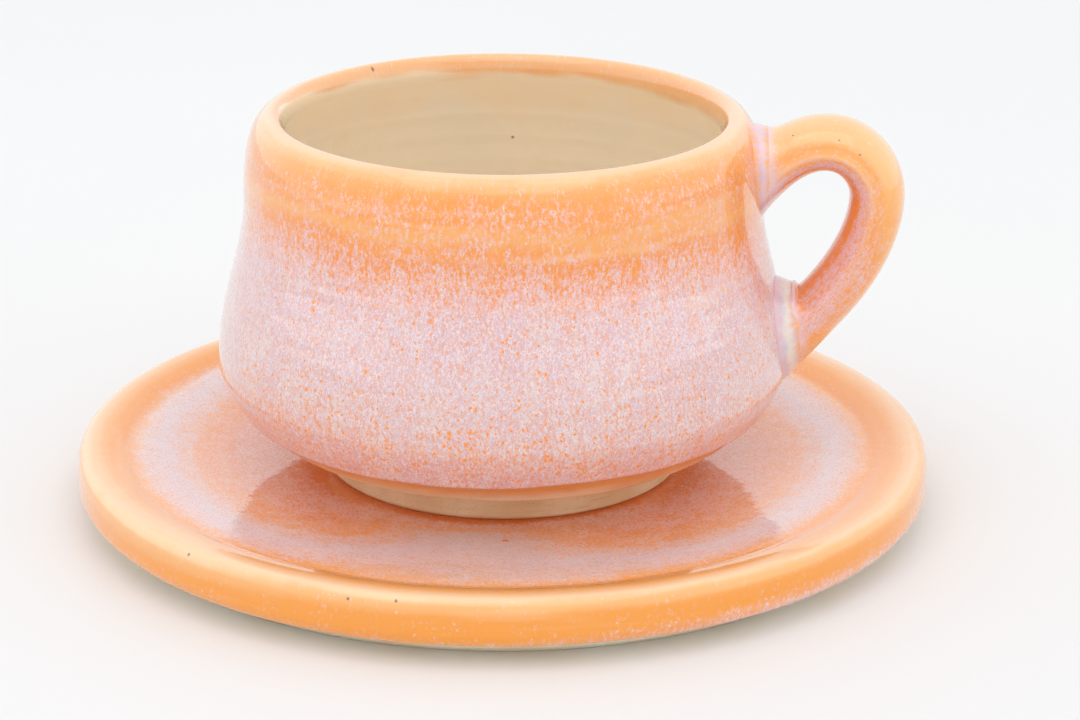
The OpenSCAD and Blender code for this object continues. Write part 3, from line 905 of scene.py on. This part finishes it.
saucerLook = dict(glazeBase, **{
    "reach": 72.0,  # millimetres; the glaze's edge on the outer side is at 6, the middle at 69
    "calm": 18.0, "drift": 3.5, "driftScale": 0.04, "streak": 3.0, "streakScale": 0.4,
    "toneShare": 0.2, "cloudScale": 2.8, "cloudShare": 0.4, "netScale": 1.7, "threadScale": 2.8,
    "ground": [(0, 244, 162, 110), (5, 246, 160, 84), (7.5, 248, 158, 56), (10.4, 248, 160, 64),
               (11.8, 248, 180, 110), (12.7, 249, 208, 164), (13.6, 248, 198, 146),
               (14.8, 248, 178, 104), (16, 248, 164, 72), (17.6, 248, 160, 64), (19, 246, 170, 98),
               (21, 236, 182, 152), (23.5, 228, 188, 184), (26, 240, 174, 132),
               (28.5, 246, 162, 88), (34, 244, 150, 80), (38, 240, 142, 76), (42, 236, 130, 54),
               (72, 224, 118, 50)],
    "veil": [(0, 236, 176, 196), (6, 242, 196, 196), (16, 244, 206, 196), (19, 236, 202, 208),
             (24, 224, 204, 214), (30, 242, 202, 208), (40, 246, 198, 198)],
    "cover": [(0, 0.60), (3, 0.52), (6, 0.30), (8, 0.14), (12, 0.08), (15.5, 0.06),
              (17.5, 0.18), (19.5, 0.40), (21.5, 0.66), (24, 0.74), (26, 0.62), (28, 0.46),
              (31, 0.46), (34, 0.60), (38, 0.64), (40.5, 0.48), (43.5, 0.20)],
    "spots": [(0, 0.0), (18, 0.0), (22, 0.16), (30, 0.3), (38, 0.3), (42, 0.1)],
    "tint": srgb(222, 222, 226), "tintScale": 0.05, "tintShare": 0.5, "patch": 0.6,
    "patchScale": 0.35, "patchStretch": 0.5, "fleckStretch": 0.6,
    "dots": ((-30.6, -42.1, 6.1, 0.24), (-10.8, -50.9, 5.8, 0.22), (-5.4, -51.7, 6.1, 0.22)),
    "breaks": ((4.0, -30.4, 32.3, 0.6), (-11.4, -27.6, 31.6, 0.34), (-11.6, -27.5, 32.3, 0.40),
               (-11.4, -27.6, 33.0, 0.36), (-11.5, -27.6, 33.7, 0.40), (-11.3, -27.7, 34.4, 0.3)),
})


def saucerEdge(angle, form=saucerForm):
    start = np.interp(form["edgeHeight"], saucerLine[:lowPoints, 1], saucerWalked[:lowPoints])
    return wavy(start + form["edgeTilt"] * np.cos(angle - 1.0), angle, form["edgeWaves"])


def makeSaucerGlaze(form=saucerForm, coat=cupShape["coat"]):
    angle = circle(form["around"])[None, :]
    first, last = saucerEdge(angle), saucerWalked[-1] - 0.3
    rows = int((last - first.mean()) / form["step"])
    along, fromEdge, thick = coated(first, last, rows, coat - 0.01, form)
    groove = hump(fromEdge, form["grooveAt"] + 0.2 * np.sin(3 * angle), form["grooveWide"])
    radius = np.interp(along, saucerWalked, saucerLine[:, 0])
    ridge = throwing(fromEdge, angle, 4.2, 2.1) * smooth(fromEdge, 8, 16) * smooth(
        radius, cupShape["footRadius"] + 1, cupShape["footRadius"] + 5)  # flat under the cup
    thick = thick - form["groove"] * groove + form["ridge"] * ridge
    back = first + np.linspace(1, 0, 90)[:, None] * (last - first)
    rings = np.concatenate([lift(saucerLine, back, angle, -0.03),
                            lift(saucerLine, along, angle, thick)])
    place = fromEdge + form["rampStart"]
    place = place + form["bandTilt"] * np.cos(angle - 2.4) * smooth(fromEdge, 9, 14)
    place = place + form["skirtShift"] * smooth(fromEdge, 5, 1) * toward(angle, *form["skirt"])
    # painted highlight: toward the left front the crest's cream is spread wider along the crest
    place = place - ((place - form["paleAt"]) * form["paintedHighlightShare"]
                     * hump(place, form["paleAt"], form["paintedHighlightReach"])
                     * toward(angle, *form["pale"]))
    front = toward(angle, *form["front"])
    place = place + form["frontShift"] * front * smooth(fromEdge, 11, 14)
    pull = form["spreadShare"] * smooth(place, *form["footRing"]) * front
    place = place - np.maximum(place - form["spreadFrom"], 0) * pull
    layers = stacked(layersOf(1.0, angle, back),
                     layersOf(1.0, angle, fromEdge, ridge - 0.8 * groove, place,
                              np.minimum(fromEdge, 50)))
    # a plate's flecks don't bunch up toward the middle, so the flow follows the radius
    layers["flow"][..., :2] *= np.minimum(np.hypot(rings[..., 0], rings[..., 1]), 52)[..., None]
    piece = ringsMesh("saucer_glaze_coat", rings, False, layers)
    dressed(piece, reactiveGlaze("saucerGlaze", saucerLook), "saucer", "saucer_glaze",
            "saucer_glaze")


saucerClayForm = {"around": 360, "step": 0.35, "turning": 0.04, "lines": (1.9, 0.9),
                  "bevel": 0.15, "flow": 52.0}


def makeSaucerClay(shape=saucerShape, form=saucerClayForm):
    foot = saucerRadius - shape["footInset"]
    inner = foot - shape["footWidth"]
    under = np.array([[0, shape["recess"]], [inner - shape["recess"], shape["recess"]],
                      [inner, 0], [foot, 0], saucerLine[1]])
    rings, layers = turnedClay(form, under, saucerLine[1:lowPoints],
                               [(saucerLine[lowPoints:-1], -0.05)],
                               lambda angle: saucerEdge(angle) - saucerWalked[1],
                               lambda walked, height: smooth(height, 0.05, 0.8))
    piece = ringsMesh("saucer_clay", rings, False, layers)
    # a paler, less toasted copy of the cup's clay: painted light on the saucer's bare strip, which
    # faces down into shade
    look = dict(clayBase, toastWide=0.9, toastShare=0.3, pale=srgb(255, 246, 224),
                warm=srgb(252, 232, 200))
    dressed(piece, bareClay("saucerClay", look), "saucer", "saucer_clay", "saucer_body")


makeSaucerGlaze()
makeSaucerClay()
print("saucer made")


# Clay of the handle and its slip, hardly seen

def hiddenClay(name, colour):
    material, tree = emptied(bpy.data.materials.new(name))
    place = wire("TexCoord", {}, out=3, tree=tree)
    grain = noise(place, 3000.0, 3)
    patch = noise(place, 120.0, 2)
    shade = washed(srgb(*colour), srgb(*[c - 18 for c in colour]), 1.0, patch, 0.3, 0.7)
    shade = washed(shade, clayBase["grog"], 0.4, grain, 0.55, 0.7)
    shaded(shade, spread(grain, 0.3, 0.7, 0.6, 0.8), times(grain, 0.03))
    return material


for node, name, colour in (("handle", "handleClay", (214, 186, 150)),
                           ("upper_slip_joint", "upperSlip", (206, 180, 146)),
                           ("lower_slip_joint", "lowerSlip", (206, 180, 146))):
    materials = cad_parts[node].data.materials
    clay = hiddenClay(name, colour)
    for i in range(len(materials)):
        materials[i] = clay
    if not len(materials):
        materials.append(clay)
print("clay of the handle made")


# Floor, light and camera

floorLook = {"colour": srgb(238, 239, 240), "shade": srgb(236, 237, 238), "radius": 3.0}


def makeFloor(look):
    radii = np.r_[np.linspace(0.05, 0.4, 15), np.linspace(0.5, look["radius"], 12)][:, None]
    angle = circle(96)[None, :]
    top = np.stack([radii * np.cos(angle), radii * np.sin(angle), 0 * radii * angle], -1) / mm
    piece = ringsMesh("floor", np.concatenate([top, top[::-1] - [0, 0, 5]]), False, {})
    material, tree = emptied(bpy.data.materials.new("floorPaper"))
    place = wire("TexCoord", {}, out=3, tree=tree)
    patch = noise(place, 4.0, 2)
    grain = noise(place, 900.0, 2)
    colour = washed(look["colour"], look["shade"], 1.0, patch, 0.35, 0.65)
    shaded(colour, spread(grain, 0.3, 0.7, 0.55, 0.65), times(grain, 0.01))
    piece.data.materials.append(material)


makeFloor(floorLook)

lightLook = {
    "surround": 0.54, "seen": 0.95,  # strength for soft light and as seen in reflections
    "sides": 1.0, "above": 0.45, "front": 0.3,  # brighter at both sides and above
    "overhead": 4.6,
}


def makeWorld(look):
    world, tree = emptied(bpy.data.worlds.new("studio"))
    bpy.context.scene.world = world
    rays = wire("LightPath", {}, tree=tree).node.outputs
    seen = calc("MAXIMUM", rays["Is Camera Ray"], rays["Is Glossy Ray"])
    strength = wire("MapRange", {"Value": seen, "To Min": look["surround"],
                                 "To Max": look["seen"]})
    way = parts(wire("TexCoord", {}, tree=tree))
    sides = times(calc("POWER", way[0], 2.0), look["sides"])
    above = times(calc("MAXIMUM", way[2], 0.0), look["above"])
    front = times(calc("MINIMUM", way[1], 0.0), -look["front"])
    strength = times(strength, plus(plus(plus(sides, above), front), 1.0))
    wire("OutputWorld", {0: wire("Background", {"Color": (1, 1, 1, 1), "Strength": strength})})


def makeLamp(name, place, target, size, power):
    lamp = bpy.data.lights.new(name, "AREA")
    lamp.shape = "RECTANGLE"
    lamp.size, lamp.size_y = size
    lamp.energy = power
    holder = placed(name, lamp)
    holder.location = place
    aim = Vector(target) - Vector(place)
    holder.rotation_euler = aim.to_track_quat("-Z", "Y").to_euler()


makeWorld(lightLook)
makeLamp("overhead", (0.0, -0.45, 1.1), (0, 0, 0), (1.3, 1.1), lightLook["overhead"])

cameraLook = {
    "distance": 400.0, "height": 162.205, "around": math.radians(-7),
    "pitch": math.radians(19.661), "yaw": math.radians(0.710), "roll": math.radians(0.347),
    "focal": 3142.674, "pictureWide": 1080.0, "sensor": 36.0,  # focal length in pixels
}


def makeCamera(look):
    lens = bpy.data.cameras.new("camera")
    lens.sensor_width = look["sensor"]
    lens.lens = look["focal"] / look["pictureWide"] * look["sensor"]
    lens.clip_start, lens.clip_end = 0.01, 20
    turn = look["around"]
    place = Vector((-math.sin(turn), -math.cos(turn), 0)) * look["distance"] * mm
    place.z = look["height"] * mm
    stand = Matrix.Translation(place)
    for angle, axis in ((-look["yaw"] - turn, "Z"), (math.pi / 2 - look["pitch"], "X"),
                        (look["roll"], "Z")):
        stand = stand @ Matrix.Rotation(angle, 4, axis)
    holder = placed("camera", lens)
    holder.matrix_world = stand
    bpy.context.scene.camera = holder


makeCamera(cameraLook)
bpy.context.scene.view_settings.view_transform = "Standard"
print("stage made")
